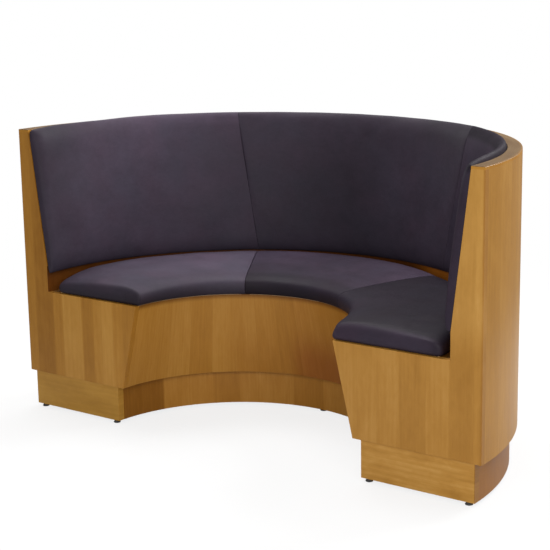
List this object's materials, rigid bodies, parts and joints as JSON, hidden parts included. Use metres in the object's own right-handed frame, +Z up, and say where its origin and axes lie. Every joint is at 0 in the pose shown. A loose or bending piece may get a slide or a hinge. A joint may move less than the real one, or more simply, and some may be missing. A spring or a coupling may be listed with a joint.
{
  "type": "banquette bench",
  "caption": "Half-circle upholstered booth bench with a veneered case, recessed plinth, lift-out seat sections, a fixed padded back and screw-adjusted levelling feet.",
  "frame": {"origin": "on the floor under the middle of the bounding box; the half circle's centre is 420 mm in front of it, at y = -0.42 m", "axes": "+Z up, -Y towards the opening where the sitters come in, +X to the right as seen from the opening"},
  "size_m": [1.68, 0.8398, 0.933],
  "materials": {
    "veneered_plywood": "satin",
    "rim_wood": "satin",
    "raw_plywood": "matte",
    "hardwood": "matte",
    "vinyl": "satin",
    "foam": "matte",
    "zinc_steel": "satin",
    "black_plastic": "matte"
  },
  "bodies": {
    "root": {"outer_shell": "veneered_plywood", "end_panel_left": "veneered_plywood", "end_panel_right": "veneered_plywood", "seat_fascia": "veneered_plywood", "crumb_strip": "veneered_plywood", "top_cap": "rim_wood", "seat_deck": "raw_plywood", "case_bottom": "raw_plywood", "frame_rib_1": "raw_plywood", "frame_rib_2": "raw_plywood", "frame_rib_3": "raw_plywood", "frame_rib_4": "raw_plywood", "frame_rib_5": "raw_plywood", "deck_ledgers": "raw_plywood", "plinth_inner_face": "veneered_plywood", "plinth_outer_face": "veneered_plywood", "plinth_end_left": "veneered_plywood", "plinth_end_right": "veneered_plywood", "plinth_braces": "raw_plywood", "foot_blocks": "raw_plywood", "foot_inserts": "zinc_steel", "end_dowels": "hardwood", "plinth_screws": "zinc_steel", "back_screws": "zinc_steel", "back_board_left": "raw_plywood", "back_board_centre": "raw_plywood", "back_board_right": "raw_plywood", "back_foam_left": "foam", "back_foam_centre": "foam", "back_foam_right": "foam", "back_cover_left": "vinyl", "back_cover_centre": "vinyl", "back_cover_right": "vinyl"},
    "seat_section_left": {"seat_board_left": "raw_plywood", "seat_foam_left": "foam", "seat_cover_left": "vinyl", "seat_pegs_left": "hardwood"},
    "seat_section_centre": {"seat_board_centre": "raw_plywood", "seat_foam_centre": "foam", "seat_cover_centre": "vinyl", "seat_pegs_centre": "hardwood"},
    "seat_section_right": {"seat_board_right": "raw_plywood", "seat_foam_right": "foam", "seat_cover_right": "vinyl", "seat_pegs_right": "hardwood"},
    "foot_1_pad": {"foot_pad_1": "black_plastic"},
    "foot_1_stem": {"foot_stem_1": "zinc_steel"},
    "foot_2_pad": {"foot_pad_2": "black_plastic"},
    "foot_2_stem": {"foot_stem_2": "zinc_steel"},
    "foot_3_pad": {"foot_pad_3": "black_plastic"},
    "foot_3_stem": {"foot_stem_3": "zinc_steel"},
    "foot_4_pad": {"foot_pad_4": "black_plastic"},
    "foot_4_stem": {"foot_stem_4": "zinc_steel"},
    "foot_5_pad": {"foot_pad_5": "black_plastic"},
    "foot_5_stem": {"foot_stem_5": "zinc_steel"},
    "foot_6_pad": {"foot_pad_6": "black_plastic"},
    "foot_6_stem": {"foot_stem_6": "zinc_steel"},
    "foot_7_pad": {"foot_pad_7": "black_plastic"},
    "foot_7_stem": {"foot_stem_7": "zinc_steel"}
  },
  "joints": [
    {"name": "seat_left_lift", "type": "slide", "parent": "root", "child": "seat_section_left", "axis": [0, 0, 1], "range_m": [0, 0.12]},
    {"name": "seat_centre_lift", "type": "slide", "parent": "root", "child": "seat_section_centre", "axis": [0, 0, 1], "range_m": [0, 0.12]},
    {"name": "seat_right_lift", "type": "slide", "parent": "root", "child": "seat_section_right", "axis": [0, 0, 1], "range_m": [0, 0.12]},
    {"name": "foot_1_travel", "type": "slide", "parent": "root", "child": "foot_1_pad", "axis": [0, 0, -1], "range_m": [0, 0.015]},
    {"name": "foot_1_turn", "type": "hinge", "parent": "foot_1_pad", "child": "foot_1_stem", "pos_m": [0.478, -0.404, 0.02], "axis": [0, 0, -1], "range_deg": [0, 4320]},
    {"name": "foot_2_travel", "type": "slide", "parent": "root", "child": "foot_2_pad", "axis": [0, 0, -1], "range_m": [0, 0.015]},
    {"name": "foot_2_turn", "type": "hinge", "parent": "foot_2_pad", "child": "foot_2_stem", "pos_m": [0.796, -0.404, 0.02], "axis": [0, 0, -1], "range_deg": [0, 4320]},
    {"name": "foot_3_travel", "type": "slide", "parent": "root", "child": "foot_3_pad", "axis": [0, 0, -1], "range_m": [0, 0.015]},
    {"name": "foot_3_turn", "type": "hinge", "parent": "foot_3_pad", "child": "foot_3_stem", "pos_m": [0.395, 0.26416, 0.02], "axis": [0, 0, -1], "range_deg": [0, 4320]},
    {"name": "foot_4_travel", "type": "slide", "parent": "root", "child": "foot_4_pad", "axis": [0, 0, -1], "range_m": [0, 0.015]},
    {"name": "foot_4_turn", "type": "hinge", "parent": "foot_4_pad", "child": "foot_4_stem", "pos_m": [0, 0.062, 0.02], "axis": [0, 0, -1], "range_deg": [0, 4320]},
    {"name": "foot_5_travel", "type": "slide", "parent": "root", "child": "foot_5_pad", "axis": [0, 0, -1], "range_m": [0, 0.015]},
    {"name": "foot_5_turn", "type": "hinge", "parent": "foot_5_pad", "child": "foot_5_stem", "pos_m": [-0.395, 0.26416, 0.02], "axis": [0, 0, -1], "range_deg": [0, 4320]},
    {"name": "foot_6_travel", "type": "slide", "parent": "root", "child": "foot_6_pad", "axis": [0, 0, -1], "range_m": [0, 0.015]},
    {"name": "foot_6_turn", "type": "hinge", "parent": "foot_6_pad", "child": "foot_6_stem", "pos_m": [-0.796, -0.404, 0.02], "axis": [0, 0, -1], "range_deg": [0, 4320]},
    {"name": "foot_7_travel", "type": "slide", "parent": "root", "child": "foot_7_pad", "axis": [0, 0, -1], "range_m": [0, 0.015]},
    {"name": "foot_7_turn", "type": "hinge", "parent": "foot_7_pad", "child": "foot_7_stem", "pos_m": [-0.478, -0.404, 0.02], "axis": [0, 0, -1], "range_deg": [0, 4320]}
  ],
  "couplings": [
    {"joint": "foot_1_travel", "follows": "foot_1_turn", "m_per_rad": 0.00019894},
    {"joint": "foot_2_travel", "follows": "foot_2_turn", "m_per_rad": 0.00019894},
    {"joint": "foot_3_travel", "follows": "foot_3_turn", "m_per_rad": 0.00019894},
    {"joint": "foot_4_travel", "follows": "foot_4_turn", "m_per_rad": 0.00019894},
    {"joint": "foot_5_travel", "follows": "foot_5_turn", "m_per_rad": 0.00019894},
    {"joint": "foot_6_travel", "follows": "foot_6_turn", "m_per_rad": 0.00019894},
    {"joint": "foot_7_travel", "follows": "foot_7_turn", "m_per_rad": 0.00019894}
  ]
}
